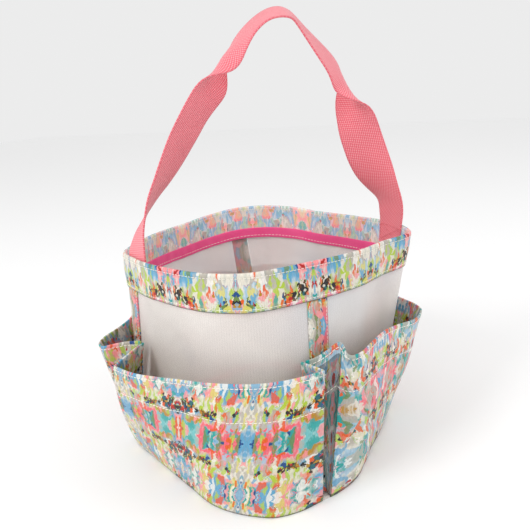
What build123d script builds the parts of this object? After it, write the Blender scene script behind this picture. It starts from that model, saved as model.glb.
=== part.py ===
from build123d import *
import math
import os

# Soft round shower caddy: a mesh tub with a folded printed band at the rim,
# a ring of four pleated printed pockets round the outside, vertical divider
# strips, a drainage base and one webbing carrying handle.
# Frame: Z up, Z = 0 on the surface it stands on, -Y towards the front pocket.
# Azimuths are in degrees, 0 at -Y and positive towards +X.

# ---------------------------------------------------------------- dimensions
ORIGIN_X = -4.949           # shift that centres the whole outline on the origin
ORIGIN_Y = 2.498
RIM_Z = 203.0            # top of the folded band above the floor
BAND_H = 31.0            # height of the folded band
MESH_T = 1.0             # mesh cloth of the tub
CLOTH_T = 1.2            # printed laminated cloth
BASE_T = 2.0             # base panel
BASE_Z = 2.3             # where the tub wall and the pockets stand on the base
STRIP_W = 18.0           # printed divider strips
STRIP_T = 1.0
BIND_H = 11.5            # bias binding on the band's inner lower edge
BIND_T = 1.2
WEB_W = 38.0             # carrying handle webbing
WEB_T = 1.6
TAB_BOTTOM_Z = 181.0     # lower end of the webbing sewn inside the band
TAB_TOP_Z = 204.0
HINGE_Z = 223.6          # height at which the webbing folds over
N_RING = 48              # facets round the tub

# outer face of the rim: (azimuth, radius)
RIM = [(-51.6, 129.9), (-39, 126.1), (-25.5, 124.9), (-13, 124.1), (-2, 125.1),
       (9, 126.0), (19, 126.5), (25.5, 125.2), (33, 122.4), (40.5, 120.1),
       (49, 119.2), (58, 119.4), (69, 120.6), (77, 120.6), (85, 123.5),
       (92.5, 132.4), (99, 139.5), (105, 138.4), (113, 134.0), (122, 128.6),
       (128, 124.6), (144, 118.6), (164, 116.8), (177, 119.8), (188.6, 124.2),
       (199, 127.6), (209.4, 128.4), (220, 128.4), (231, 126.5), (244, 121.6),
       (260, 116.2), (279, 115.5), (296, 121.5)]

# outline of the base, a rounded square: (azimuth, radius)
BASE = [(-57, 141.8), (-53, 137.9), (-43, 129.0), (-29, 124.1), (-13, 128.2),
        (0, 139.0), (8, 143.4), (15, 146.0), (22, 147.6), (30, 143.4),
        (38, 136.6), (46, 132.4), (54, 127.4), (60, 122.6), (67, 116.0),
        (80, 108.5), (96, 109.5), (112, 116.0), (121, 122.0), (130, 121.5),
        (145, 114.5), (163, 111.0), (182, 115.0), (198, 123.0), (208, 127.0),
        (218, 126.0), (235, 120.5), (253, 120.0), (270, 125.0), (288, 136.5)]

# divider strips: name, azimuth at the rim, azimuth at the base
STRIPS = [("divider_strip_front_left", -42.0, -58.0),
          ("divider_strip_front_right", 42.0, 41.0),
          ("divider_strip_back_right", 124.0, 122.0),
          ("divider_strip_back_left", 217.0, 210.0)]

# pockets: name, azimuth at the base of the first and last seam, then the top
# edge as (azimuth, radius, z, part) with part g = pleat side, p = front panel
POCKETS = [
    ("pocket_front", -58.3, 39.5, [
        (-35.2, 129.4, 127.5, "g"), (-33.6, 138.0, 126.5, "g"),
        (-31.6, 148.0, 125.0, "g"), (-30.0, 159.0, 122.8, "g"),
        (-28.8, 163.6, 122.5, "p"), (-25.8, 163.2, 122.6, "p"),
        (-19.0, 161.2, 123.0, "p"), (-11.5, 157.8, 124.0, "p"),
        (-4.0, 155.8, 125.0, "p"), (4.0, 155.4, 125.2, "p"),
        (12.0, 155.4, 125.2, "p"), (20.0, 155.6, 125.2, "p"),
        (28.6, 154.5, 126.0, "p"), (35.7, 153.0, 127.4, "p"),
        (39.4, 151.6, 128.1, "p"), (38.9, 147.0, 128.0, "g"),
        (37.0, 138.0, 127.8, "g"), (35.0, 129.6, 127.5, "g")]),
    ("pocket_right", 42.3, 120.5, [
        (36.2, 130.4, 127.5, "g"), (40.2, 132.0, 130.0, "g"),
        (44.4, 133.2, 132.6, "g"), (47.6, 134.6, 134.0, "g"),
        (48.6, 137.6, 132.8, "p"), (50.0, 142.3, 129.8, "p"),
        (54.0, 142.6, 129.4, "p"), (61.0, 138.5, 131.5, "p"),
        (71.6, 133.9, 132.4, "p"), (82.0, 135.8, 129.2, "p"),
        (92.0, 144.4, 125.6, "p"), (99.0, 148.2, 125.0, "p"),
        (103.4, 148.8, 125.0, "p"), (107.0, 146.5, 124.6, "g"),
        (114.0, 140.4, 123.4, "g"), (121.0, 131.2, 124.5, "g")]),
    ("pocket_back", 122.6, 208.5, [
        (124.5, 131.2, 126.0, "g"), (127.5, 139.0, 126.0, "g"),
        (131.0, 148.0, 125.5, "g"), (135.0, 152.5, 125.0, "p"),
        (145.0, 152.5, 125.0, "p"), (155.0, 151.0, 125.0, "p"),
        (165.0, 149.5, 125.0, "p"), (175.0, 149.5, 125.0, "p"),
        (185.0, 151.0, 125.0, "p"), (195.0, 152.5, 125.0, "p"),
        (204.5, 153.0, 125.0, "p"), (208.5, 149.0, 125.5, "g"),
        (212.0, 141.0, 126.0, "g"), (215.0, 132.6, 126.0, "g")]),
    ("pocket_left", 211.4, 299.3, [
        (218.2, 132.6, 126.0, "g"), (221.5, 142.0, 125.5, "g"),
        (225.5, 150.0, 125.0, "g"), (230.5, 153.5, 125.0, "p"),
        (240.0, 151.0, 125.5, "p"), (252.0, 143.5, 127.0, "p"),
        (264.0, 136.5, 128.8, "p"), (276.0, 132.5, 129.6, "p"),
        (288.0, 133.0, 128.8, "p"), (297.0, 135.5, 127.6, "p"),
        (303.5, 145.0, 126.0, "p"), (309.5, 158.0, 125.0, "p"),
        (314.0, 162.8, 124.5, "p"), (317.0, 160.5, 124.8, "g"),
        (318.2, 150.0, 125.8, "g"), (320.2, 139.0, 127.0, "g"),
        (323.4, 130.2, 127.5, "g")]),
]

# carrying handle: distance along the line between its two ends, height, and
# the turn of the webbing about its own length (0 = flat side square to the
# plane of the loop)
HANDLE_END_AZ = (-40.0, 117.5)


# ------------------------------------------------------------------ geometry
def periodic(table, az):
    """Smooth closed interpolation of (azimuth, value) points."""
    pts = sorted((a % 360.0, v) for a, v in table)
    n = len(pts)
    az = az % 360.0
    k = n - 1
    for i in range(n):
        if az < pts[i][0]:
            k = i - 1
            break

    def get(i):
        w, j = divmod(i, n)
        return pts[j][0] + 360.0 * w, pts[j][1]

    (x0, y0), (x1, y1), (x2, y2), (x3, y3) = (get(k - 1), get(k), get(k + 1), get(k + 2))
    if az < x1:
        az += 360.0
    h = x2 - x1
    m1 = (y2 - y0) / (x2 - x0)
    m2 = (y3 - y1) / (x3 - x1)
    t = (az - x1) / h
    return ((2 * t ** 3 - 3 * t ** 2 + 1) * y1 + (t ** 3 - 2 * t ** 2 + t) * h * m1
            + (-2 * t ** 3 + 3 * t ** 2) * y2 + (t ** 3 - t ** 2) * h * m2)


def wall_r(az, z):
    """Middle of the mesh wall."""
    top = periodic(RIM, az) - CLOTH_T - 0.15 - MESH_T / 2
    low = periodic(BASE, az) - 6.4
    s = z / RIM_Z
    return low + (top - low) * s


def polar(az, r, z):
    a = math.radians(az)
    return (r * math.sin(a) + ORIGIN_X, -r * math.cos(a) + ORIGIN_Y, z)


def sub(a, b):
    return (a[0] - b[0], a[1] - b[1], a[2] - b[2])


def cross(a, b):
    return (a[1] * b[2] - a[2] * b[1], a[2] * b[0] - a[0] * b[2], a[0] * b[1] - a[1] * b[0])


def dot(a, b):
    return a[0] * b[0] + a[1] * b[1] + a[2] * b[2]


def unit(a):
    n = math.sqrt(dot(a, a))
    return (a[0] / n, a[1] / n, a[2] / n)


def facet(pts):
    return Face(Wire.make_polygon([Vector(*p) for p in pts], close=True))


def quad(a, b, c, d, out, first=True):
    """One flat quad, or two triangles where the four points aren't flat."""
    n = cross(sub(c, a), sub(d, b))
    size = math.sqrt(dot(n, n))
    if size < 1e-9:
        return
    off = abs(dot(sub(b, a), n)) / size
    if off < 1e-5:
        out.append(facet([a, b, c, d]))
    elif first:
        out.append(facet([a, b, c]))
        out.append(facet([a, c, d]))
    else:
        out.append(facet([a, b, d]))
        out.append(facet([b, c, d]))


def close_solid(faces):
    body = Solid(Shell(faces))
    if body.volume < 0:
        body = Solid(Shell([f for f in faces]).reversed())
    return body


def skin(grid, closed):
    """Solid whose skin runs through rings of points; closed joins last to first."""
    faces = []
    n = len(grid)
    m = len(grid[0])
    for i in range(n if closed else n - 1):
        p, q = grid[i], grid[(i + 1) % n]
        for j in range(m):
            k = (j + 1) % m
            # every layer is cut along the same diagonal, so layers stay apart
            quad(p[j], q[j], q[k], p[k], faces, p[j][2] <= p[k][2])
    if not closed:
        for ring in (grid[0], grid[-1]):
            # the ring runs out along one side and back along the other
            for j in range(m // 2 - 1):
                quad(ring[j], ring[j + 1], ring[m - 2 - j], ring[m - 1 - j], faces)
    return close_solid(faces)


def wall_section(az, offsets):
    """Points of a section given as (offset from the wall's middle, z)."""
    return [polar(az, wall_r(az, z) + d, z) for d, z in offsets]


AZS = [i * 360.0 / N_RING for i in range(N_RING)]


def tub_ring(offsets):
    return skin([wall_section(a, offsets) for a in AZS], True)


def mesh_wall():
    h = MESH_T / 2
    levels = [BASE_Z, 11.5, 44.0, 76.0, 108.0, 140.0, RIM_Z - BAND_H, RIM_Z - 1.6]
    return tub_ring([(h, z) for z in levels] + [(-h, z) for z in reversed(levels)])


def top_band():
    # one strip of printed cloth folded over the mesh's top edge
    i = MESH_T / 2 + 0.15
    o = i + CLOTH_T
    low = RIM_Z - BAND_H
    t = RIM_Z - 1.3
    return tub_ring([(i, low), (o, low), (o, RIM_Z), (-o, RIM_Z), (-o, low), (-i, low), (-i, t), (i, t)])


def band_binding():
    o = MESH_T / 2 + 0.15 + CLOTH_T + 0.25
    low = RIM_Z - BAND_H - 5.0
    return tub_ring([(-o - BIND_T, low), (-o, low), (-o, low + BIND_H), (-o - BIND_T, low + BIND_H)])


def base_seam_binding():
    o = MESH_T / 2 + 0.3
    return tub_ring([(-o - BIND_T, BASE_Z), (-o, BASE_Z), (-o, BASE_Z + 9.0), (-o - BIND_T, BASE_Z + 9.0)])


def base_panel():
    low = [polar(a, periodic(BASE, a), 0.0) for a in AZS]
    high = [(x, y, BASE_T) for x, y, z in low]
    faces = [facet(low), facet(high)]
    for i in range(N_RING):
        k = (i + 1) % N_RING
        quad(low[i], low[k], high[k], high[i], faces)
    return close_solid(faces)


def divider_strip(az_top, az_low):
    """Printed strip sewn down the outside of the mesh, from band to base."""
    d0 = MESH_T / 2 + 0.35
    d1 = d0 + STRIP_T
    z_top = RIM_Z - BAND_H - 0.3
    rows = []
    for k in range(9):
        z = BASE_Z + 0.2 + (z_top - BASE_Z - 0.2) * k / 8
        az = az_low + (az_top - az_low) * z / RIM_Z
        half = math.degrees(STRIP_W / 2 / wall_r(az, z))
        cols = [az + half * t for t in (-1, -0.5, 0, 0.5, 1)]
        outer = [polar(a, facet_r(a, z) + d1, z) for a in cols]
        inner = [polar(a, facet_r(a, z) + d0, z) for a in reversed(cols)]
        rows.append(outer + inner)
    return skin(rows, False)


def facet_r(az, z):
    """Radius of the wall's flat facets at this azimuth."""
    step = 360.0 / N_RING
    a1 = math.floor(az / step) * step
    r1, r2 = wall_r(a1, z), wall_r(a1 + step, z)
    t, u = math.radians(az - a1), math.radians(a1 + step - az)
    return r1 * r2 * math.sin(t + u) / (r1 * math.sin(t) + r2 * math.sin(u))


def pocket(low_a, low_b, top):
    """A printed pocket: front panel and two pleat sides in one bent cloth."""
    n = len(top)
    first = next(i for i in range(n) if top[i][3] == "p")
    last = max(i for i in range(n) if top[i][3] == "p")
    low = []
    for i in range(n):
        if i < first:
            r = periodic(BASE, low_a) - 3.2 + 3.0 * i / first
            low.append((low_a + 0.15 * i / first, r))
        elif i > last:
            r = periodic(BASE, low_b) - 3.2 + 3.0 * (n - 1 - i) / (n - 1 - last)
            low.append((low_b - 0.15 * (n - 1 - i) / (n - 1 - last), r))
        else:
            t = (i - first) / (last - first)
            az = (low_a + 0.5) + (low_b - low_a - 1.0) * t
            low.append((az, periodic(BASE, az) - 0.1))
    rows = []
    for s in (0.0, 0.25, 0.5, 0.75, 1.0):
        line = []
        for (az1, r1, z1, kind), (az0, r0) in zip(top, low):
            az = az0 + (az1 - az0) * s
            r = r0 + (r1 - r0) * s
            line.append(polar(az, r, BASE_Z + (z1 - BASE_Z) * s))
        rows.append(line)
    inner_rows = []
    for line in rows:
        inner = []
        for i in range(n):
            dirs = []
            if i > 0:
                a = unit((line[i][0] - line[i - 1][0], line[i][1] - line[i - 1][1], 0))
                dirs.append((-a[1], a[0]))
            if i < n - 1:
                a = unit((line[i + 1][0] - line[i][0], line[i + 1][1] - line[i][1], 0))
                dirs.append((-a[1], a[0]))
            nx = sum(d[0] for d in dirs) / len(dirs)
            ny = sum(d[1] for d in dirs) / len(dirs)
            ln = math.hypot(nx, ny)
            k = min(1.0 / ln, 1.8)
            inner.append((line[i][0] + nx / ln * CLOTH_T * k, line[i][1] + ny / ln * CLOTH_T * k, line[i][2]))
        inner_rows.append(inner)
    faces = []
    for outer, grid in ((True, rows), (False, inner_rows)):
        for r in range(len(grid) - 1):
            for i in range(n - 1):
                quad(grid[r][i], grid[r][i + 1], grid[r + 1][i + 1], grid[r + 1][i], faces)
    for r in range(len(rows) - 1):
        for i in (0, n - 1):
            quad(rows[r][i], inner_rows[r][i], inner_rows[r + 1][i], rows[r + 1][i], faces)
    for r in (0, len(rows) - 1):
        for i in range(n - 1):
            quad(rows[r][i], rows[r][i + 1], inner_rows[r][i + 1], inner_rows[r][i], faces)
    return close_solid(faces)


def tab_offset():
    return MESH_T / 2 + 0.15 + CLOTH_T + 0.5


def handle_tab(az):
    """Webbing end sewn flat against the inside of the band."""
    d0 = tab_offset()
    rows = []
    for z in (TAB_BOTTOM_Z, TAB_TOP_Z):
        half = math.degrees(WEB_W / 2 / (wall_r(az, z) - d0))
        cols = [az + half * t / 4 for t in range(-4, 5)]
        near = [polar(a, facet_r(a, min(z, RIM_Z)) - d0, z) for a in cols]
        far = [polar(a, facet_r(a, min(z, RIM_Z)) - d0 - WEB_T, z) for a in reversed(cols)]
        rows.append(near + far)
    return skin(rows, False)


def handle_end(az):
    d = tab_offset() + WEB_T / 2
    return polar(az, wall_r(az, RIM_Z) - d, 0.0)


# the loop: (share of the span, height, turn of the webbing)
HANDLE = [(0, 204.8, 11.3), (0.0027, 206.2, 11.2), (0.0053, 209, 10.8), (0.0098, 213, 10),
          (0.016, 218, 8.5), (0.0241, 223.6, 3.6), (0.0367, 230.9, -4.4),
          (0.0535, 239.6, -9.8), (0.0723, 248, -16.6), (0.0924, 256.3, -21.6),
          (0.1137, 264.5, -26.6), (0.1357, 272.6, -31.6), (0.158, 280.5, -35.7),
          (0.1803, 288.4, -39.1), (0.2022, 296.1, -41.8), (0.2236, 303.8, -43.4),
          (0.2447, 311.6, -43.9), (0.2658, 319.3, -44), (0.2871, 327.1, -46.3),
          (0.3088, 335, -48), (0.3278, 341.8, -46.1), (0.3386, 345.6, -38.4),
          (0.3497, 349.3, -25.6), (0.3609, 353.1, -11), (0.3725, 356.8, 2),
          (0.3843, 360.4, 10.3), (0.4161, 369.5, 10.4), (0.4442, 376.4, 8.8),
          (0.4742, 382.8, 7.7), (0.5063, 388.5, 8.2), (0.5397, 392.8, 10.7),
          (0.5732, 395, 16.6), (0.6058, 394.3, 21), (0.6365, 390.3, 20.7),
          (0.6653, 384.2, 23.2), (0.6922, 377, 25.9), (0.7171, 369.5, 29.1),
          (0.7403, 361.6, 32.1), (0.7618, 353.4, 34.7), (0.7817, 345, 36.2),
          (0.8037, 334.6, 35.7), (0.8117, 330.5, 29.6), (0.8195, 326.3, 19.3),
          (0.8269, 322.1, 6.7), (0.834, 318, -6.5), (0.8409, 313.8, -18.6),
          (0.8475, 309.6, -27.7), (0.8539, 305.5, -35.2), (0.864, 298.6, -46.6),
          (0.8763, 289.9, -52.7), (0.8884, 281.2, -54.9), (0.9008, 272.5, -56),
          (0.9138, 263.8, -53.1), (0.9278, 255.2, -44.8), (0.9434, 246.5, -33.6),
          (0.9609, 237.8, -23.1), (0.9806, 229.2, -13.6), (0.9931, 223.6, -7.4),
          (1.002, 218, -0.9), (1.0046, 213, 3.8), (1.0019, 209, 8), (0.9973, 206.2, 11),
          (1, 204.8, 11)]


def handle_strap():
    left = handle_end(HANDLE_END_AZ[0])
    right = handle_end(HANDLE_END_AZ[1])
    span = sub(right, left)
    along = unit(span)
    length = math.sqrt(dot(span, span))
    across = (-along[1], along[0], 0.0)
    pts = [(left[0] + along[0] * length * s, left[1] + along[1] * length * s, z) for s, z, turn in HANDLE]
    rings = []
    n = len(pts)
    for i in range(n):
        a = pts[max(i - 1, 0)]
        b = pts[min(i + 1, n - 1)]
        if i == 0 or i == n - 1:
            tangent = (0.0, 0.0, 1.0 if i == 0 else -1.0)
        else:
            tangent = unit(sub(b, a))
        side = unit(cross(tangent, across))
        turn = math.radians(HANDLE[i][2])
        wide = unit(tuple(across[k] * math.cos(turn) + side[k] * math.sin(turn) for k in range(3)))
        thick = unit(cross(tangent, wide))
        drop = HINGE_Z - pts[i][2]
        w = WEB_W / 2
        if drop > 0:
            w = math.sqrt(max(w * w - drop * drop, 9.0))
        t = WEB_T / 2
        rings.append([tuple(pts[i][k] + wide[k] * w * u + thick[k] * t * v for k in range(3))
                      for u, v in ((-1, -1), (1, -1), (1, 1), (-1, 1))])
    return skin(rings, False)


os.makedirs("parts", exist_ok=True)


def put(name, shape):
    shape.label = name
    export_step(shape, "parts/" + name + ".step")
    box = shape.bounding_box()
    boxes.append((box.min.X, box.min.Y, box.min.Z, box.max.X, box.max.Y, box.max.Z))


boxes = []
put("mesh_wall", mesh_wall())
put("top_band", top_band())
put("band_binding", band_binding())
put("base_panel", base_panel())
put("base_seam_binding", base_seam_binding())
for name, az_top, az_low in STRIPS:
    put(name, divider_strip(az_top, az_low))
for name, low_a, low_b, top in POCKETS:
    put(name, pocket(low_a, low_b, top))
put("handle_tab_left", handle_tab(HANDLE_END_AZ[0]))
put("handle_tab_right", handle_tab(HANDLE_END_AZ[1]))
put("handle_strap", handle_strap())
low = [min(b[i] for b in boxes) for i in range(3)]
high = [max(b[i + 3] for b in boxes) for i in range(3)]
print("box low", [round(v, 3) for v in low], "high", [round(v, 3) for v in high])
print("centre", round((low[0] + high[0]) / 2, 3), round((low[1] + high[1]) / 2, 3))
print("hinge ends", handle_end(HANDLE_END_AZ[0]), handle_end(HANDLE_END_AZ[1]))
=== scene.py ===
import bpy
import math
import numpy as np
from mathutils import Matrix, Vector


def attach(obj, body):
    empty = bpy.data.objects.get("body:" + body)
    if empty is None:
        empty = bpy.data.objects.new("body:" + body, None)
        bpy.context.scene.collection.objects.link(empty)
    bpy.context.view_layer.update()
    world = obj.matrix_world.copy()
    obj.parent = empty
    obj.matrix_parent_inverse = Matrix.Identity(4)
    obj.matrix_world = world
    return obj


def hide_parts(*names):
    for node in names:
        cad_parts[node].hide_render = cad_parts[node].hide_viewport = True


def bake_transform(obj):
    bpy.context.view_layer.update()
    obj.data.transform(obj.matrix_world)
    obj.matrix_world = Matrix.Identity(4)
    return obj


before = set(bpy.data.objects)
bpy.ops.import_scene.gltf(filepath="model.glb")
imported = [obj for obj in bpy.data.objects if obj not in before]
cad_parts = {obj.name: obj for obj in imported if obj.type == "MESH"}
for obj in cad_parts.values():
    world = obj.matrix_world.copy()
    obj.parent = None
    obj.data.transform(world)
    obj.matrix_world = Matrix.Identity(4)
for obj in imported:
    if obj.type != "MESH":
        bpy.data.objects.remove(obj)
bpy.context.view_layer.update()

# ------------------------------------------------------------------ sizes (mm)
OX, OY = -4.949, 2.498
RIM_Z, BAND_H, BASE_Z = 203.0, 31.0, 2.3
SEAM_AZ = 222.0                      # where the tub's and the band's cloth joins, at a strip
WEB_W, WEB_T = 38.0, 1.6
RIM = [(-51.6, 129.9), (-39, 126.1), (-25.5, 124.9), (-13, 124.1), (-2, 125.1),
       (9, 126.0), (19, 126.5), (25.5, 125.2), (33, 122.4), (40.5, 120.1),
       (49, 119.2), (58, 119.4), (69, 120.6), (77, 120.6), (85, 123.5),
       (92.5, 132.4), (99, 139.5), (105, 138.4), (113, 134.0), (122, 128.6),
       (128, 124.6), (144, 118.6), (164, 116.8), (177, 119.8), (188.6, 124.2),
       (199, 127.6), (209.4, 128.4), (220, 128.4), (231, 126.5), (244, 121.6),
       (260, 116.2), (279, 115.5), (296, 121.5)]
BASE = [(-57, 141.8), (-53, 137.9), (-43, 129.0), (-29, 124.1), (-13, 128.2),
        (0, 139.0), (8, 143.4), (15, 146.0), (22, 147.6), (30, 143.4),
        (38, 136.6), (46, 132.4), (54, 127.4), (60, 122.6), (67, 116.0),
        (80, 108.5), (96, 109.5), (112, 116.0), (121, 122.0), (130, 121.5),
        (145, 114.5), (163, 111.0), (182, 115.0), (198, 123.0), (208, 127.0),
        (218, 126.0), (235, 120.5), (253, 120.0), (270, 125.0), (288, 136.5)]
# height of the rim above and below RIM_Z round the tub
RIM_DZ = [(-60, 0.0), (-40, 0.0), (-20, 0.4), (0, -0.2), (15, 0.0), (33, 1.8), (50, 2.2),
          (69, 1.6), (85, 0.5), (100, 0.0), (122, -1.0), (144, -3.2), (170, -3.2), (182, -0.5),
          (199, 1.6), (215, 1.8), (232, -1.5), (247, -3.4), (262, -2.4), (280, -0.8)]
STRIPS = [("front_left", -42.0, -58.0), ("front_right", 44.2, 41.2),
          ("back_right", 124.0, 122.0), ("back_left", 217.0, 210.0)]
POCKETS = [
    ("front", -58.3, 39.5, [
        (-35.2, 129.4, 127.5, "g"), (-33.6, 138.0, 126.5, "g"),
        (-31.6, 148.0, 125.0, "g"), (-30.0, 159.0, 122.8, "g"),
        (-28.8, 163.6, 122.5, "p"), (-25.8, 163.2, 122.6, "p"),
        (-19.0, 161.2, 123.0, "p"), (-11.5, 157.8, 124.0, "p"),
        (-4.0, 155.8, 125.0, "p"), (4.0, 155.4, 125.2, "p"),
        (12.0, 155.4, 125.2, "p"), (20.0, 155.6, 125.2, "p"),
        (28.6, 154.5, 126.0, "p"), (35.7, 153.0, 127.4, "p"),
        (39.4, 151.6, 128.1, "p"), (38.9, 147.0, 128.0, "g"),
        (37.0, 138.0, 127.8, "g"), (35.0, 129.6, 127.5, "g")]),
    ("right", 42.3, 120.5, [
        (36.2, 130.4, 127.5, "g"), (40.2, 132.0, 130.0, "g"),
        (44.4, 132.9, 134.6, "g"), (47.6, 134.0, 139.0, "g"),
        (48.4, 134.9, 139.6, "g"), (48.8, 137.0, 137.6, "p"),
        (49.2, 140.0, 132.2, "p"), (50.6, 142.2, 129.4, "p"),
        (54.0, 142.6, 129.2, "p"), (61.0, 138.5, 131.5, "p"),
        (71.6, 133.9, 132.4, "p"), (82.0, 135.8, 129.2, "p"),
        (92.0, 144.4, 125.6, "p"), (99.0, 148.2, 125.0, "p"),
        (103.4, 148.8, 125.0, "p"), (107.0, 146.5, 124.6, "g"),
        (114.0, 140.4, 123.4, "g"), (121.0, 131.2, 124.5, "g")]),
    ("back", 122.6, 208.5, [
        (124.5, 131.2, 126.0, "g"), (127.5, 139.0, 126.0, "g"),
        (131.0, 148.0, 125.5, "g"), (135.0, 152.5, 125.0, "p"),
        (145.0, 152.5, 125.0, "p"), (155.0, 151.0, 125.0, "p"),
        (165.0, 149.5, 125.0, "p"), (175.0, 149.5, 125.0, "p"),
        (185.0, 151.0, 125.0, "p"), (195.0, 152.5, 125.0, "p"),
        (204.5, 153.0, 125.0, "p"), (208.5, 149.0, 125.5, "g"),
        (212.0, 141.0, 126.0, "g"), (215.0, 132.6, 126.0, "g")]),
    ("left", 211.4, 299.3, [
        (218.2, 132.6, 126.0, "g"), (221.5, 142.0, 125.5, "g"),
        (225.5, 150.0, 125.0, "g"), (230.5, 153.5, 125.0, "p"),
        (240.0, 151.0, 125.5, "p"), (252.0, 143.5, 127.0, "p"),
        (264.0, 136.5, 128.8, "p"), (276.0, 132.5, 129.6, "p"),
        (288.0, 133.0, 128.8, "p"), (297.0, 135.5, 127.6, "p"),
        (303.5, 145.0, 126.0, "p"), (309.5, 158.0, 125.0, "p"),
        (314.0, 162.8, 124.5, "p"), (317.0, 160.5, 124.8, "g"),
        (318.2, 150.0, 125.8, "g"), (320.2, 139.0, 127.0, "g"),
        (323.4, 130.2, 127.5, "g")]),
]
# the webbing's path from one end to the other: length along it, distance along
# the line between its ends, height, and its turn about its own length
ARC = [0.0, 17.0, 26.4, 36.3, 46.5, 58.0, 70.2, 79.8, 90.1, 101.7, 111.5, 121.7, 132.6, 142.2, 150.8, 159.4, 164.0, 180.0, 185.9, 195.9, 215.2, 229.0, 240.9, 251.7, 255.3, 274.4, 295.4, 309.9, 327.5, 333.0, 347.0, 356.9, 375.3, 400.0, 415.9, 429.3, 441.5, 449.4, 455.0, 462.8, 469.7]
PATH_S = [0.0, 4.6, 8.2, 12.3, 16.8, 22.5, 29.9, 35.0, 40.6, 46.6, 51.9, 57.7, 63.7, 69.6, 74.6, 79.5, 82.3, 92.0, 95.6, 102.2, 115.4, 126.3, 137.6, 148.4, 151.8, 163.4, 176.8, 186.0, 195.4, 197.7, 203.6, 207.5, 211.4, 219.3, 225.6, 231.7, 238.1, 242.0, 243.2, 243.6, 243.3]
PATH_Z = [202.9, 219.4, 228.3, 237.5, 246.6, 256.6, 266.4, 274.6, 283.2, 293.1, 301.3, 309.8, 318.8, 326.5, 333.4, 340.5, 344.2, 356.8, 361.5, 369.0, 383.1, 391.5, 395.4, 396.0, 394.9, 379.8, 363.5, 352.3, 337.5, 332.5, 320.0, 310.9, 292.9, 269.5, 255.0, 243.1, 232.8, 226.0, 220.6, 212.7, 205.8]
TURN = [17.5, 6.5, -2.4, -8.0, -15.4, -21.7, -28.0, -33.0, -37.0, -41.0, -42.9, -43.9, -43.9, -46.0, -48.5, -49.0, -46.0, 8.0, 11.6, 10.3, 7.6, 9.1, 15.7, 21.0, 20.1, 24.1, 30.9, 34.9, 38.5, 33.0, -15.0, -34.0, -51.8, -56.0, -45.3, -29.6, -17.0, -10.5, -8.5, -8.0, -6.0]


# ------------------------------------------------------------------ geometry
def periodic(table, az):
    pts = sorted((a % 360.0, v) for a, v in table)
    n = len(pts)
    az = az % 360.0
    k = n - 1
    for i in range(n):
        if az < pts[i][0]:
            k = i - 1
            break

    def get(i):
        w, j = divmod(i, n)
        return pts[j][0] + 360.0 * w, pts[j][1]

    (x0, y0), (x1, y1), (x2, y2), (x3, y3) = (get(k - 1), get(k), get(k + 1), get(k + 2))
    if az < x1:
        az += 360.0
    h = x2 - x1
    m1 = (y2 - y0) / (x2 - x0)
    m2 = (y3 - y1) / (x3 - x1)
    t = (az - x1) / h
    return ((2 * t ** 3 - 3 * t ** 2 + 1) * y1 + (t ** 3 - 2 * t ** 2 + t) * h * m1
            + (-2 * t ** 3 + 3 * t ** 2) * y2 + (t ** 3 - t ** 2) * h * m2)


_grid_az = np.arange(0, 360.5, 0.5)
_rim = np.array([periodic(RIM, a) for a in _grid_az])
_base = np.array([periodic(BASE, a) for a in _grid_az])
_dz = np.array([periodic(RIM_DZ, a) for a in _grid_az])


def rim_r(az):
    return np.interp(np.mod(az, 360.0), _grid_az, _rim)


def base_r(az):
    return np.interp(np.mod(az, 360.0), _grid_az, _base)


def rim_dz(az):
    return np.interp(np.mod(az, 360.0), _grid_az, _dz)


def wall_r(az, z):
    """Middle of the mesh wall, with the slight ripple of hanging mesh."""
    top = rim_r(az) - 1.85
    low = base_r(az) - 6.4
    s = np.asarray(z) / RIM_Z
    a = np.radians(az)
    body = np.clip(np.sin(np.pi * np.clip(s, 0, 1)), 0, 1)
    ripple = 0.55 * np.sin(9 * a + 2.1 * s) + 0.35 * np.sin(17 * a - 3.0 * s + 1.0)
    return low + (top - low) * s + ripple * body * 0.6


def place(az, r, z):
    a = np.radians(az)
    return np.stack([(r * np.sin(a) + OX) * 1e-3, (-r * np.cos(a) + OY) * 1e-3, z * np.ones_like(r) * 1e-3], -1)


def smooth_array(v, sigma):
    n = int(sigma * 3) + 1
    k = np.exp(-0.5 * (np.arange(-n, n + 1) / sigma) ** 2)
    k /= k.sum()
    p = np.concatenate([2 * v[0] - v[n:0:-1], v, 2 * v[-1] - v[-2:-n - 2:-1]])
    return np.convolve(p, k, mode="valid")


# ------------------------------------------------------------------ mesh making
def make_mesh(name, verts, faces, uvs=None, smooth=True):
    me = bpy.data.meshes.new(name)
    me.from_pydata([tuple(v) for v in verts], [], faces)
    if uvs is not None:
        layer = me.uv_layers.new(name="UVMap")
        flat = np.array([c for face in uvs for c in face], np.float32).reshape(-1)
        layer.data.foreach_set("uv", flat)
    me.update()
    ob = bpy.data.objects.new(name, me)
    bpy.context.scene.collection.objects.link(ob)
    if smooth:
        me.polygons.foreach_set("use_smooth", [True] * len(me.polygons))
    return ob


def grid(name, P, UV, closed=False):
    """P[i][j] points and UV[i][j]; closed joins the last row i to the first."""
    ni, nj = P.shape[:2]
    faces, uvs = [], []
    for i in range(ni if closed else ni - 1):
        k = (i + 1) % ni
        for j in range(nj - 1):
            faces.append((i * nj + j, k * nj + j, k * nj + j + 1, i * nj + j + 1))
            uvs.append((UV[i][j], UV[i + 1][j], UV[i + 1][j + 1], UV[i][j + 1]))
    return make_mesh(name, P.reshape(-1, 3), faces, uvs)


def thicken(ob, mm, offset=0.0):
    m = ob.modifiers.new("t", "SOLIDIFY")
    m.thickness = mm * 1e-3
    m.offset = offset
    m.use_even_offset = True
    bpy.context.view_layer.update()
    dg = bpy.context.evaluated_depsgraph_get()
    me = bpy.data.meshes.new_from_object(ob.evaluated_get(dg))
    ob.modifiers.clear()
    ob.data = me
    me.polygons.foreach_set("use_smooth", [True] * len(me.polygons))
    return ob


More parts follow.
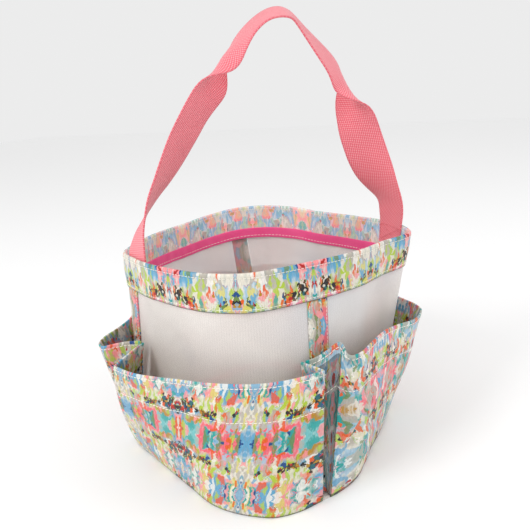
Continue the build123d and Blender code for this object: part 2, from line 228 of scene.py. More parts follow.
def arc_len(P):
    return np.concatenate([[0], np.cumsum(np.linalg.norm(np.diff(P, axis=0), axis=1))])


def stitches(name, lines, length=2.7, gap=0.75, radius=0.3, lift=0.12):
    """Thread stitches as small bent rods along each (points, normals) line, in metres."""
    V, F = [], []
    sides = 5
    for P, N in lines:
        s = arc_len(P)
        total = s[-1]
        pitch = (length + gap) * 1e-3
        n = max(1, int(total / pitch))
        pitch = total / n
        ln = pitch * length / (length + gap)
        for i in range(n):
            a = i * pitch + pitch * 0.1
            base = len(V)
            ts = np.array([0.0, 0.18, 0.5, 0.82, 1.0])
            hs = np.array([-0.45, 0.6, 1.0, 0.6, -0.45]) * radius * 1e-3 + lift * 1e-3
            rs = np.array([0.55, 0.95, 1.0, 0.95, 0.55]) * radius * 1e-3
            pos = a + ts * ln
            C = np.stack([np.interp(pos, s, P[:, k]) for k in range(3)], -1)
            M = np.stack([np.interp(pos, s, N[:, k]) for k in range(3)], -1)
            M /= np.linalg.norm(M, axis=1)[:, None]
            T = C[-1] - C[0]
            T /= np.linalg.norm(T)
            for c, m, h, r in zip(C, M, hs, rs):
                b = np.cross(T, m)
                for q in range(sides):
                    t = 2 * math.pi * q / sides
                    V.append(c + m * (h + r * math.cos(t)) + b * r * math.sin(t))
            for k in range(4):
                for q in range(sides):
                    w = (q + 1) % sides
                    F.append((base + k * sides + q, base + k * sides + w, base + (k + 1) * sides + w, base + (k + 1) * sides + q))
            F.append(tuple(base + q for q in reversed(range(sides))))
            F.append(tuple(base + 4 * sides + q for q in range(sides)))
    return make_mesh(name, V, F)


# ------------------------------------------------------------------ materials
def lin(h):
    h = h.lstrip("#")
    c = [int(h[i:i + 2], 16) / 255 for i in (0, 2, 4)]
    return tuple(v / 12.92 if v <= 0.04045 else ((v + 0.055) / 1.055) ** 2.4 for v in c) + (1.0,)


class Nodes:
    def __init__(self, name):
        self.mat = bpy.data.materials.new(name)
        self.mat.use_nodes = True
        self.t = self.mat.node_tree
        self.t.nodes.clear()
        self.out = self.n("ShaderNodeOutputMaterial")

    def n(self, kind, **props):
        node = self.t.nodes.new(kind)
        for k, v in props.items():
            setattr(node, k, v)
        return node

    def link(self, a, b):
        self.t.links.new(a, b)

    def val(self, socket, v):
        if isinstance(v, (int, float)):
            socket.default_value = v
        elif isinstance(v, tuple):
            socket.default_value = v
        else:
            self.link(v, socket)

    def math(self, op, a, b=None, c=None, clamp=False):
        m = self.n("ShaderNodeMath", operation=op, use_clamp=clamp)
        self.val(m.inputs[0], a)
        if b is not None:
            self.val(m.inputs[1], b)
        if c is not None:
            self.val(m.inputs[2], c)
        return m.outputs[0]

    def mix(self, f, a, b):
        m = self.n("ShaderNodeMix", data_type="RGBA")
        self.val(m.inputs[0], f)
        self.val(m.inputs[6], a)
        self.val(m.inputs[7], b)
        return m.outputs[2]

    def ramp(self, f, stops, mode="CONSTANT"):
        r = self.n("ShaderNodeValToRGB")
        r.color_ramp.interpolation = mode
        e = r.color_ramp.elements
        while len(e) < len(stops):
            e.new(0.5)
        for i, (p, c) in enumerate(stops):
            e[i].position = p
        for i, (p, c) in enumerate(stops):
            e[i].color = c if len(c) == 4 else lin(c)
        self.link(f, r.inputs[0])
        return r.outputs[0]

    def combine(self, x, y, z=0.0):
        c = self.n("ShaderNodeCombineXYZ")
        self.val(c.inputs[0], x)
        self.val(c.inputs[1], y)
        self.val(c.inputs[2], z)
        return c.outputs[0]

    def noise(self, vec, scale, detail=2.0, rough=0.5):
        t = self.n("ShaderNodeTexNoise")
        self.link(vec, t.inputs["Vector"])
        t.inputs["Scale"].default_value = scale
        t.inputs["Detail"].default_value = detail
        t.inputs["Roughness"].default_value = rough
        return t

    def voronoi(self, vec, scale, feature="F1", rnd=1.0):
        t = self.n("ShaderNodeTexVoronoi", feature=feature)
        self.link(vec, t.inputs["Vector"])
        t.inputs["Scale"].default_value = scale
        t.inputs["Randomness"].default_value = rnd
        return t

    def bump(self, height, strength, distance, normal=None):
        b = self.n("ShaderNodeBump")
        b.inputs["Strength"].default_value = strength
        b.inputs["Distance"].default_value = distance
        self.link(height, b.inputs["Height"])
        if normal is not None:
            self.link(normal, b.inputs["Normal"])
        return b.outputs[0]


def evenly(cols):
    n = len(cols)
    return [(i / n, c) for i, c in enumerate(cols)]


TEAL, SKY, CORAL, PINK = "#35A09C", "#6FA9CB", "#F47C88", "#EE9DB4"
LIME, YELL, CREAM, GREIGE = "#B4CC52", "#DDD27E", "#E4DFD2", "#B9B3A8"
ORANGE, MUST, BROWN, BLACK = "#E8683C", "#B98A2C", "#5E3C1E", "#17151B"
NAVY, RED, LILAC, AQUA = "#1F4A86", "#B92F2B", "#B3AECF", "#79C2C4"
PALEB, MOSS, WHITE, ROSE = "#A9C7DA", "#6F8648", "#F4F1EA", "#F9A3A6"


def printed_material(name, seed, v_half=0.052, u_half=0.062, dabs=0.50, painted_light_wash=0.0, calm=0.0, lift=0.64, edge=None):
    """Painterly print, mirrored left to right and top to bottom, on a coated cloth."""
    g = Nodes(name)
    uv = g.n("ShaderNodeUVMap")
    uv.uv_map = "UVMap"
    sep = g.n("ShaderNodeSeparateXYZ")
    g.link(uv.outputs[0], sep.inputs[0])
    u = g.math("PINGPONG", g.math("ADD", sep.outputs[0], seed * 0.0137), u_half)
    v = g.math("PINGPONG", sep.outputs[1], v_half)
    v01 = g.math("DIVIDE", v, v_half)

    def flat2(node):
        for attr in ("noise_dimensions", "voronoi_dimensions"):
            if hasattr(node, attr):
                setattr(node, attr, "2D")
        return node

    def nz(vec, scale, detail=2.0, rough=0.5):
        t = flat2(g.noise(vec, scale, detail, rough))
        q = g.n("ShaderNodeSeparateColor")
        g.link(t.outputs["Color"], q.inputs[0])
        return q.outputs

    def vec(su, sv, ou=0.0, ov=0.0):
        return g.combine(g.math("MULTIPLY_ADD", u, su, ou + seed), g.math("MULTIPLY_ADD", v, sv, ov + seed * 0.37), 0.0)

    def centred(x, k):
        return g.math("MULTIPLY", g.math("SUBTRACT", x, 0.5), k)

    w1 = nz(vec(1, 0.6), 330.0, 3.0, 0.62)       # ragged brush edges
    w2 = nz(vec(1, 0.7, 3.0), 75.0, 1.0)         # slow wandering
    uu = g.math("ADD", u, g.math("ADD", centred(w1[0], 0.0040), centred(w2[0], 0.0085)))
    vv = g.math("ADD", v, g.math("ADD", centred(w1[1], 0.0080), centred(w2[1], 0.0100)))

    def cells(scale, squash, off, soft=False):
        c = g.combine(g.math("ADD", uu, off + seed * 0.11), g.math("MULTIPLY_ADD", vv, squash, off * 0.7), 0.0)
        vo = flat2(g.voronoi(c, scale, "SMOOTH_F1" if soft else "F1"))
        if soft:
            vo.inputs["Smoothness"].default_value = 0.22
        q = g.n("ShaderNodeSeparateColor")
        g.link(vo.outputs["Color"], q.inputs[0])
        return q.outputs

    def pal(f, cols):
        return g.ramp(f, evenly(cols))

    a = cells(88.0, 0.78, 0.31, True)            # broad patches
    b = cells(205.0, 0.50, 1.7)                  # brush strokes
    c = cells(540.0, 0.60, 2.9)                  # dabs
    d = cells(420.0, 0.26, 4.1)                  # thin upright streaks
    top = pal(a[0], [SKY, CORAL, PALEB, TEAL, CORAL, SKY, GREIGE, ROSE, SKY, CREAM, TEAL])
    mid = pal(a[1], [CREAM, GREIGE, LIME, CREAM, PALEB, LIME, CREAM, PINK, GREIGE, CREAM, YELL])
    low = pal(a[2], [TEAL, SKY, CORAL, GREIGE, TEAL, ROSE, SKY, AQUA, CORAL, GREIGE, MUST, SKY])
    vb = g.math("ADD", v01, centred(w2[2], 0.42))
    f1 = g.math("MULTIPLY", g.math("SUBTRACT", vb, 0.22), 8.0, clamp=True)
    f2 = g.math("MULTIPLY", g.math("SUBTRACT", vb, 0.60), 8.0, clamp=True)
    col = g.mix(f2, g.mix(f1, top, mid), low)
    # wet-on-wet variation inside every patch
    wet = nz(vec(1, 0.34, 7.0), 260.0, 3.0, 0.6)
    col = g.mix(g.math("MULTIPLY", g.math("SUBTRACT", wet[0], 0.50), 2.6, clamp=True), col, lin("#EFE8DD"))
    col = g.mix(g.math("MULTIPLY", g.math("SUBTRACT", wet[1], 0.56), 2.4, clamp=True), col, lin("#8E9AA0"))
    # strokes of a second colour, thin and broken
    hi = pal(b[1], [CREAM, LIME, SKY, ROSE, WHITE, TEAL, YELL, PALEB, ORANGE])
    lo = pal(b[1], [AQUA, CREAM, ROSE, PALEB, TEAL, ORANGE, CORAL, GREIGE, MOSS])
    m = g.math("MULTIPLY", g.math("GREATER_THAN", b[0], 0.60), g.math("MULTIPLY", g.math("SUBTRACT", wet[2], 0.30), 6.0, clamp=True))
    col = g.mix(g.math("MULTIPLY", m, 0.85 * (1 - calm)), col, g.mix(f2, hi, lo))
    m = g.math("MULTIPLY", g.math("GREATER_THAN", d[0], g.math("ADD", g.math("MULTIPLY", f2, 0.18), 0.66)), 0.8 * (1 - calm))
    streak = pal(d[1], [WHITE, CREAM, LIME, SKY, GREIGE, ORANGE, MOSS, WHITE, ROSE, YELL])
    col = g.mix(m, col, streak)
    # rows of dark dabs, gathered in clumps
    clump = nz(vec(1, 0.2, 9.0), 62.0, 1.0)
    ring = g.math("SUBTRACT", 1.0, g.math("DIVIDE", g.math("ABSOLUTE", g.math("SUBTRACT", vb, dabs)), 0.20), clamp=True)
    ring = g.math("MULTIPLY", ring, g.math("MULTIPLY", g.math("SUBTRACT", clump[0], 0.26), 3.6, clamp=True))
    m = g.math("GREATER_THAN", g.math("MULTIPLY", ring, g.math("ADD", c[0], 0.32)), 0.50)
    col = g.mix(m, col, pal(c[1], [BROWN, BLACK, NAVY, MUST, RED, BROWN, "#12656A", BLACK, ORANGE, "#3B1F1A", MOSS]))
    m = g.math("GREATER_THAN", c[2], 0.965)
    col = g.mix(m, col, pal(c[1], [ORANGE, SKY, RED, MUST, NAVY, CREAM, TEAL]))
    if edge:
        # the thin dark line of thread and shadow along a sewn lower edge
        m = g.math("MULTIPLY", g.math("GREATER_THAN", sep.outputs[1], edge), 0.62)
        col = g.mix(m, col, lin("#3A3A3E"))
    dry = flat2(g.noise(vec(1, 0.25), 1100.0, 3.0, 0.65))
    # lift sets the print's brightness: 0.64 is its own tone, lower values paint shade and higher values paint light
    tone = g.n("ShaderNodeHueSaturation")
    tone.inputs["Saturation"].default_value = 1.12
    g.link(g.math("ADD", g.math("MULTIPLY", dry.outputs["Fac"], 0.50), lift), tone.inputs["Value"])
    g.link(col, tone.inputs["Color"])
    colour = tone.outputs[0]
    # painted light: the colour is mixed towards near-white, brightening a print copy that lies in shade
    if painted_light_wash:
        colour = g.mix(painted_light_wash, colour, lin("#FFF6F0"))
    p = g.n("ShaderNodeBsdfPrincipled")
    g.link(colour, p.inputs["Base Color"])
    p.inputs["Specular IOR Level"].default_value = 0.45
    g.link(g.math("ADD", g.math("MULTIPLY", dry.outputs["Fac"], 0.18), 0.36), p.inputs["Roughness"])
    p.inputs["Sheen Weight"].default_value = 0.06
    # fine weave under the coating, and soft creasing
    wv = g.combine(sep.outputs[0], sep.outputs[1], 0.0)
    k = 2 * math.pi / 0.0007
    weave = g.math("MULTIPLY", g.math("SINE", g.math("MULTIPLY", sep.outputs[0], k)),
                   g.math("SINE", g.math("MULTIPLY", sep.outputs[1], k)))
    n1 = g.bump(weave, 0.12, 0.00015)
    creases = flat2(g.noise(wv, 30.0, 3.0, 0.55))
    n2 = g.bump(creases.outputs["Fac"], 0.35, 0.0035, n1)
    g.link(n2, p.inputs["Normal"])
    g.link(p.outputs[0], g.out.inputs[0])
    return g.mat


def mesh_material(name, colour="#EDE8E2", cover=0.84, pitch=0.62, strips=False):
    g = Nodes(name)
    uv = g.n("ShaderNodeUVMap")
    uv.uv_map = "UVMap"
    sep = g.n("ShaderNodeSeparateXYZ")
    g.link(uv.outputs[0], sep.inputs[0])
    wob = g.noise(uv.outputs[0], 70.0, 2.0)
    u = g.math("ADD", sep.outputs[0], g.math("MULTIPLY", wob.outputs["Fac"], 0.0004))
    k = 2 * math.pi / (pitch * 1e-3)
    su = g.math("ABSOLUTE", g.math("SINE", g.math("MULTIPLY", u, k / 2)))
    sv = g.math("ABSOLUTE", g.math("SINE", g.math("MULTIPLY", sep.outputs[1], k / 2)))
    hole = g.math("MULTIPLY", su, sv)                     # 0 on threads, 1 in the middle of a hole
    open_ = g.math("MULTIPLY", g.math("SUBTRACT", hole, 0.45), 3.0, clamp=True)
    alpha = g.math("SUBTRACT", 1.0, g.math("MULTIPLY", open_, (1 - cover) * 3.2), clamp=True)
    if strips:
        # the open mesh lies tight on each sewn strip, so the strip's print shows through it
        near = None
        for _, top_az, low_az in STRIPS:
            c0 = 0.126 * math.radians((low_az - SEAM_AZ) % 360.0)
            c1 = 0.126 * math.radians((top_az - SEAM_AZ) % 360.0)
            centre = g.math("MULTIPLY_ADD", sep.outputs[1], (c1 - c0) / (RIM_Z * 1e-3), c0)
            m = g.math("LESS_THAN", g.math("ABSOLUTE", g.math("SUBTRACT", sep.outputs[0], centre)), 0.0094)
            near = m if near is None else g.math("MAXIMUM", near, m)
        alpha = g.math("MULTIPLY", alpha, g.math("SUBTRACT", 1.0, g.math("MULTIPLY", near, 0.62)))
    cloud = g.noise(uv.outputs[0], 16.0, 3.0, 0.6)
    tint = g.ramp(cloud.outputs["Fac"], [(0.25, "#E0DAD4"), (0.5, colour), (0.78, "#F9F5EF")], "EASE")
    hue = g.noise(uv.outputs[0], 11.0, 1.0, 0.5)
    hs = g.n("ShaderNodeSeparateColor")
    g.link(hue.outputs["Color"], hs.inputs[0])
    tint = g.mix(g.math("MULTIPLY", g.math("SUBTRACT", hs.outputs[0], 0.45), 1.6, clamp=True), tint, lin("#E2CCC9"))
    tint = g.mix(g.math("MULTIPLY", g.math("SUBTRACT", hs.outputs[1], 0.47), 1.6, clamp=True), tint, lin("#C9D6E2"))
    lines = g.math("SINE", g.math("MULTIPLY", g.math("ADD", u, g.math("MULTIPLY", hs.outputs[2], 0.004)), 2 * math.pi / 0.0021))
    tint = g.mix(g.math("MULTIPLY_ADD", lines, 0.07, 0.07), tint, lin("#BDB2AE"))
    p = g.n("ShaderNodeBsdfPrincipled")
    g.link(g.mix(g.math("MULTIPLY", hole, 0.14), tint, lin("#D8CCC6")), p.inputs["Base Color"])
    shine = g.noise(uv.outputs[0], 24.0, 4.0, 0.6)
    g.link(g.math("ADD", g.math("MULTIPLY", shine.outputs["Fac"], 0.5), 0.14), p.inputs["Roughness"])
    p.inputs["Specular IOR Level"].default_value = 0.55
    p.inputs["Sheen Weight"].default_value = 0.15
    g.link(alpha, p.inputs["Alpha"])
    g.link(g.bump(hole, 0.5, 0.0002), p.inputs["Normal"])
    g.link(p.outputs[0], g.out.inputs[0])
    return g.mat


def webbing_material(name):
    g = Nodes(name)
    uv = g.n("ShaderNodeUVMap")
    uv.uv_map = "UVMap"
    sep = g.n("ShaderNodeSeparateXYZ")
    g.link(uv.outputs[0], sep.inputs[0])
    u, v = sep.outputs[0], sep.outputs[1]
    # woven picks: staggered light knots on a deeper ground, in slanting rows
    ku, kv = math.pi / 0.00165, math.pi / 0.00115
    su = g.math("SINE", g.math("MULTIPLY", g.math("MULTIPLY_ADD", v, 0.55, u), ku))
    sv = g.math("SINE", g.math("MULTIPLY", g.math("MULTIPLY_ADD", u, -0.35, v), kv))
    cloth = g.math("MULTIPLY_ADD", g.math("MULTIPLY", su, sv), 0.5, 0.5)
    knots = g.math("MULTIPLY", g.math("SUBTRACT", cloth, 0.42), 2.4, clamp=True)
    cloud = g.noise(uv.outputs[0], 30.0, 2.0)
    base = g.mix(knots, lin("#E56171"), lin("#F6A8AC"))
    edge = g.math("GREATER_THAN", g.math("ABSOLUTE", g.math("SUBTRACT", u, 0.019)), 0.0177)
    base = g.mix(g.math("MULTIPLY", edge, 0.35), base, lin("#D65B69"))
    hs = g.n("ShaderNodeHueSaturation")
    g.link(g.math("ADD", g.math("MULTIPLY", cloud.outputs["Fac"], 0.18), 0.92), hs.inputs["Value"])
    g.link(base, hs.inputs["Color"])
    p = g.n("ShaderNodeBsdfPrincipled")
    g.link(hs.outputs[0], p.inputs["Base Color"])
    p.inputs["Roughness"].default_value = 0.62
    p.inputs["Sheen Weight"].default_value = 0.25
    p.inputs["Specular IOR Level"].default_value = 0.4
    g.link(g.bump(cloth, 0.6, 0.0004), p.inputs["Normal"])
    g.link(p.outputs[0], g.out.inputs[0])
    return g.mat


def plain_cloth(name, a, b, rough=0.55, scale=900.0, strength=0.35):
    g = Nodes(name)
    co = g.n("ShaderNodeTexCoord")
    n = g.noise(co.outputs["Object"], 45.0, 3.0)
    f = g.noise(co.outputs["Object"], scale, 2.0)
    col = g.mix(n.outputs["Fac"], lin(a), lin(b))
    p = g.n("ShaderNodeBsdfPrincipled")
    g.link(col, p.inputs["Base Color"])
    p.inputs["Roughness"].default_value = rough
    p.inputs["Sheen Weight"].default_value = 0.12
    g.link(g.bump(f.outputs["Fac"], strength, 0.0004), p.inputs["Normal"])
    g.link(p.outputs[0], g.out.inputs[0])
    return g.mat


M_PRINT = {k: printed_material("print_" + k, s, edge=e) for k, s, e in
           (("front", 1.0, 0.1244), ("right", 2.6, 0.1278), ("back", 4.1, 0.1244), ("left", 5.3, 0.1254))}
M_PRINT["strip"] = printed_material("print_strip", 6.4)
M_PRINT["band"] = printed_material("print_band", 7.9, dabs=0.42, edge=0.0310)
# painted shade: the right pocket's pleat print, made much darker by a low lift, stands in for the shadow in the slot
# behind the front pocket
M_PLEAT_PAINTED_SHADE = printed_material("print_pleat_painted_shade", 2.6, lift=0.12, edge=0.1278)
# painted light: the band's inner face is the band print made calmer and brightened by a high lift and the near-white
# mix, for its shaded side
M_INSIDE_PAINTED_LIGHT = printed_material("print_band_inside_painted_light", 4.4, v_half=0.16, dabs=0.80, painted_light_wash=0.22, calm=0.55, lift=0.98)
M_MESH = mesh_material("open_mesh", strips=True)
M_BASE = mesh_material("base_mesh", "#DDD6CD", 0.93, 1.6)
M_WEB = webbing_material("pink_webbing")
M_BIND = plain_cloth("pink_binding", "#EE3F84", "#F8629C")
M_THREAD = plain_cloth("cream_thread", "#F6F0DE", "#FFFDF4", 0.5, 1500.0, 0.2)


def dress(ob, mat, node_names=(), body="root"):
    ob.data.materials.clear()
    ob.data.materials.append(mat)
    if node_names:
        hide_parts(*node_names)
    if body:
        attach(ob, body)
    return ob


# ------------------------------------------------------------------ mesh tub
def build_wall():
    azs = SEAM_AZ + np.arange(0, 360, 1.25)
    zs = np.linspace(BASE_Z, RIM_Z - 2.2, 34)
    per = np.concatenate([[0], np.cumsum([126.0 * math.radians(1.25)] * len(azs))]) * 1e-3
    P = np.zeros((len(azs), len(zs), 3))
    UV = np.zeros((len(azs) + 1, len(zs), 2))
    for i, a in enumerate(azs):
        z = zs + rim_dz(a) * np.clip((zs - 90) / 113, 0, 1)
        P[i] = place(np.full(len(zs), a), wall_r(a, zs), z)
    for i in range(len(azs) + 1):
        UV[i, :, 0] = per[i]
        UV[i, :, 1] = zs * 1e-3
    ob = grid("mesh_tub", P, UV, True)
    dress(ob, M_MESH, ["mesh_wall"])
    return ob


# ------------------------------------------------------------------ folded band
def build_band():
    azs = SEAM_AZ + np.arange(0, 360, 1.0)
    low = RIM_Z - BAND_H
    prof = []                                   # (offset, z)
    for z in np.linspace(low, RIM_Z - 1.9, 16):
        k = (z - low) / BAND_H
        puff = 0.75 * math.sin(math.pi * min(max((z - low - 2.5) / (BAND_H - 7), 0), 1))
        prof.append((1.15 + puff * 0.8, z))
    for t in np.linspace(15, 165, 9):
        prof.append((1.15 * math.cos(math.radians(t)) * 1.05, RIM_Z - 1.9 + 1.9 * math.sin(math.radians(t))))
    for z in np.linspace(RIM_Z - 1.9, low, 14):
        prof.append((-1.15 - 0.25 * math.sin(math.pi * (z - low) / BAND_H), z))
    prof = np.array(prof)
    s = np.concatenate([[0], np.cumsum(np.hypot(*np.diff(prof, axis=0).T))])
    top = s[20]
    per = [0.0]
    for i in range(len(azs)):
        per.append(per[-1] + rim_r(azs[i]) * math.radians(1.0))
    per = np.array(per) * 1e-3
    P = np.zeros((len(azs), len(prof), 3))
    for i, a in enumerate(azs):
        off = prof[:, 0].copy()
        z = prof[:, 1]
        r = wall_r(a, z)
        # cloth waves along the lower edge and slight pull at the stitch lines
        w = 0.35 * math.sin(math.radians(a) * 23 + 0.6) + 0.25 * math.sin(math.radians(a) * 41 + 2)
        off = off + np.where(off > 0, w * 0.4, 0) * np.clip((RIM_Z - z) / BAND_H, 0, 1)
        P[i] = place(np.full(len(z), a), r + off, z + rim_dz(a))
    UV = np.zeros((len(azs) + 1, len(prof), 2))
    UV[:, :, 0] = per[:, None]
    UV[:, :, 1] = (np.abs(s - top) * 1e-3)[None, :]
    ob = grid("rim_band", P, UV, True)
    nj = len(prof) - 1
    for k, poly in enumerate(ob.data.polygons):
        if k % nj >= 21:
            poly.material_index = 1
    thicken(ob, 0.55)
    inside = [poly.material_index for poly in ob.data.polygons]
    dress(ob, M_PRINT["band"], ["top_band"])
    ob.data.materials.append(M_INSIDE_PAINTED_LIGHT)
    ob.data.polygons.foreach_set("material_index", inside)

    def line(z, off, step=1.0):
        a = np.arange(0, 360 + step, step)
        r = wall_r(a, z)
        Pn = place(a, r + off, z + rim_dz(a))
        A = np.radians(a)
        N = np.stack([np.sin(A), -np.cos(A), np.zeros_like(A)], -1) * (1 if off > 0 else -1)
        return Pn, N
    st = stitches("band_stitching", [line(RIM_Z - 3.4, 1.75), line(low + 2.6, 1.55),
                                     line(RIM_Z - 3.4, -1.55)], 2.6, 0.7, 0.23, 0.02)
    dress(st, M_THREAD)
    return ob


# ------------------------------------------------------------------ bias binding
def build_binding():
    azs = np.arange(0, 360, 1.0)
    low, h = RIM_Z - BAND_H - 5.0, 11.5
    ring = []
    for k in range(20):
        t = 2 * math.pi * k / 20
        ex = math.copysign(abs(math.cos(t)) ** 0.6, math.cos(t))
        ez = math.copysign(abs(math.sin(t)) ** 0.45, math.sin(t))
        ring.append((-2.35 + 0.75 * ex, low + h / 2 + h / 2 * ez))
    ring.append(ring[0])
    ring = np.array(ring)
    P = np.zeros((len(azs), len(ring), 3))
    for i, a in enumerate(azs):
        wob = (0.7 * math.sin(math.radians(a) * 31 + 2 * math.sin(math.radians(a) * 3))
               + 0.5 * math.sin(math.radians(a) * 57 + 1) + 0.8 * max(0, math.sin(math.radians(a) * 13 + 0.8)) ** 4)
        off = ring[:, 0] - np.where(ring[:, 0] < -2.35, 0.3 + 0.3 * wob, 0)
        groove = np.exp(-((ring[:, 1] - (low + 2.8)) / 0.8) ** 2) * np.where(ring[:, 0] < -2.35, 0.35, 0)
        P[i] = place(np.full(len(ring), a), wall_r(a, ring[:, 1]) + off + groove, ring[:, 1] + rim_dz(a) * 0.9)
    P = P[:, :-1]
    nj = P.shape[1]
    ni = len(azs)
    faces = [(i * nj + j, ((i + 1) % ni) * nj + j, ((i + 1) % ni) * nj + (j + 1) % nj, i * nj + (j + 1) % nj)
             for i in range(ni) for j in range(nj)]
    ob = make_mesh("rim_binding", P.reshape(-1, 3), faces)
    dress(ob, M_BIND, ["band_binding"])
    a = np.arange(0, 361, 1.0)
    A = np.radians(a)
    z = low + 2.8
    st = stitches("binding_stitching", [(place(a, wall_r(a, z) - 3.1, z + rim_dz(a) * 0.9),
                                         np.stack([-np.sin(A), np.cos(A), 0 * A], -1))], 3.0, 1.1, 0.3, 0.05)
    dress(st, M_THREAD)
    return ob


def build_base():
    # drainage base, a slightly dished disc with a bound edge, and the inner seam binding
    azs = np.arange(0, 360, 2.0)
    rs = [0.02, 0.15, 0.3, 0.45, 0.6, 0.75, 0.88, 0.96, 1.0]
    P = np.zeros((len(azs), len(rs), 3))
    UV = np.zeros((len(azs) + 1, len(rs), 2))
    for i, a in enumerate(azs):
        for j, q in enumerate(rs):
            r = (base_r(a) - 0.6) * q
            P[i, j] = place(np.array(a), np.array(r), 0.9 + 0.5 * math.sin(a * 0.15) * q * (1 - q))
    for i in range(len(azs) + 1):
        for j, q in enumerate(rs):
            a = math.radians(i * 2.0)
            UV[i, j] = (0.13 * q * math.cos(a), 0.13 * q * math.sin(a))
    ob = grid("drainage_base", P, UV, True)
    me = ob.data
    n = len(azs)
    nj = len(rs)
    import bmesh
    bm = bmesh.new()
    bm.from_mesh(me)
    bm.verts.ensure_lookup_table()
    bm.faces.new([bm.verts[i * nj] for i in reversed(range(n))])
    bm.to_mesh(me)
    bm.free()
    thicken(ob, 1.4)
    dress(ob, M_BASE, ["base_panel"])
    for name, z0, z1, off, thick, nodes in (("base_seam_binding_inner", 2.4, 11.0, -1.4, 0.6, ["base_seam_binding"]),):
        ring = []
        for k in range(14):
            t = 2 * math.pi * k / 14
            ring.append((off + thick * math.copysign(abs(math.cos(t)) ** 0.6, math.cos(t)),
                         (z0 + z1) / 2 + (z1 - z0) / 2 * math.copysign(abs(math.sin(t)) ** 0.5, math.sin(t))))
        ring = np.array(ring)
        Q = np.array([place(np.full(len(ring), a), wall_r(a, ring[:, 1]) + ring[:, 0] - 0.2, ring[:, 1]) for a in azs])
        nj = len(ring)
        faces = [(i * nj + j, ((i + 1) % n) * nj + j, ((i + 1) % n) * nj + (j + 1) % nj, i * nj + (j + 1) % nj)
                 for i in range(n) for j in range(nj)]
        b = make_mesh(name, Q.reshape(-1, 3), faces)
        dress(b, M_BIND, nodes)


# ------------------------------------------------------------------ divider strips
def build_strip(name, az_top, az_low):
    zs = np.linspace(BASE_Z + 1.0, RIM_Z - BAND_H + 2.0, 40)
    cols = np.linspace(-1, 1, 13)
    P = np.zeros((len(cols), len(zs), 3))
    UV = np.zeros((len(cols), len(zs), 2))
    for j, z in enumerate(zs):
        az = az_low + (az_top - az_low) * z / RIM_Z
        half = math.degrees(9.0 / wall_r(az, z))
        for i, c in enumerate(cols):
            a = az + half * c
            lift = 0.62 + 0.35 * (1 - abs(c) ** 6) + 0.12 * math.sin(z * 0.21 + c * 2)
            if z > RIM_Z - BAND_H - 1:
                lift *= 0.6
            P[i, j] = place(np.array(a), np.array(wall_r(a, z) + lift), z)
            UV[i, j] = (c * 0.009, (RIM_Z - z) * 1e-3)
    ob = grid("divider_" + name, P, UV)
    thicken(ob, 0.5)
    dress(ob, M_PRINT["strip"], ["divider_strip_" + name])
    lines = []
    for side in (-1, 1):
        zz = np.linspace(BASE_Z + 2, RIM_Z - BAND_H - 1, 60)
        az = az_low + (az_top - az_low) * zz / RIM_Z
        a = az + side * np.degrees(7.6 / wall_r(az, zz))
        A = np.radians(a)
        lines.append((place(a, wall_r(a, zz) + 1.25, zz), np.stack([np.sin(A), -np.cos(A), 0 * A], -1)))
    st = stitches("divider_stitching_" + name, lines, 2.5, 0.7, 0.2, 0.0)
    dress(st, M_THREAD)


# ------------------------------------------------------------------ pockets
def catmull(pts, per):
    """Dense smooth points through pts, per samples for each span."""
    pts = np.asarray(pts, float)
    n = len(pts)
    out, idx = [], []
    for i in range(n - 1):
        p0 = pts[max(i - 1, 0)]
        p1, p2 = pts[i], pts[i + 1]
        p3 = pts[min(i + 2, n - 1)]
        d1 = max(np.linalg.norm(p2 - p1), 1e-6)
        d0 = max(np.linalg.norm(p1 - p0), d1 * 0.3)
        d2 = max(np.linalg.norm(p3 - p2), d1 * 0.3)
        m1 = ((p2 - p1) / d1 * d0 + (p1 - p0) / d0 * d1) / (d0 + d1) * d1 if i > 0 else (p2 - p1)
        m2 = ((p2 - p1) / d1 * d2 + (p3 - p2) / d2 * d1) / (d1 + d2) * d1 if i < n - 2 else (p2 - p1)
        for k in range(per):
            t = k / per
            out.append((2 * t ** 3 - 3 * t ** 2 + 1) * p1 + (t ** 3 - 2 * t ** 2 + t) * m1
                       + (-2 * t ** 3 + 3 * t ** 2) * p2 + (t ** 3 - t ** 2) * m2)
            idx.append(i + t)
    out.append(pts[-1])
    idx.append(n - 1)
    return np.array(out), np.array(idx)


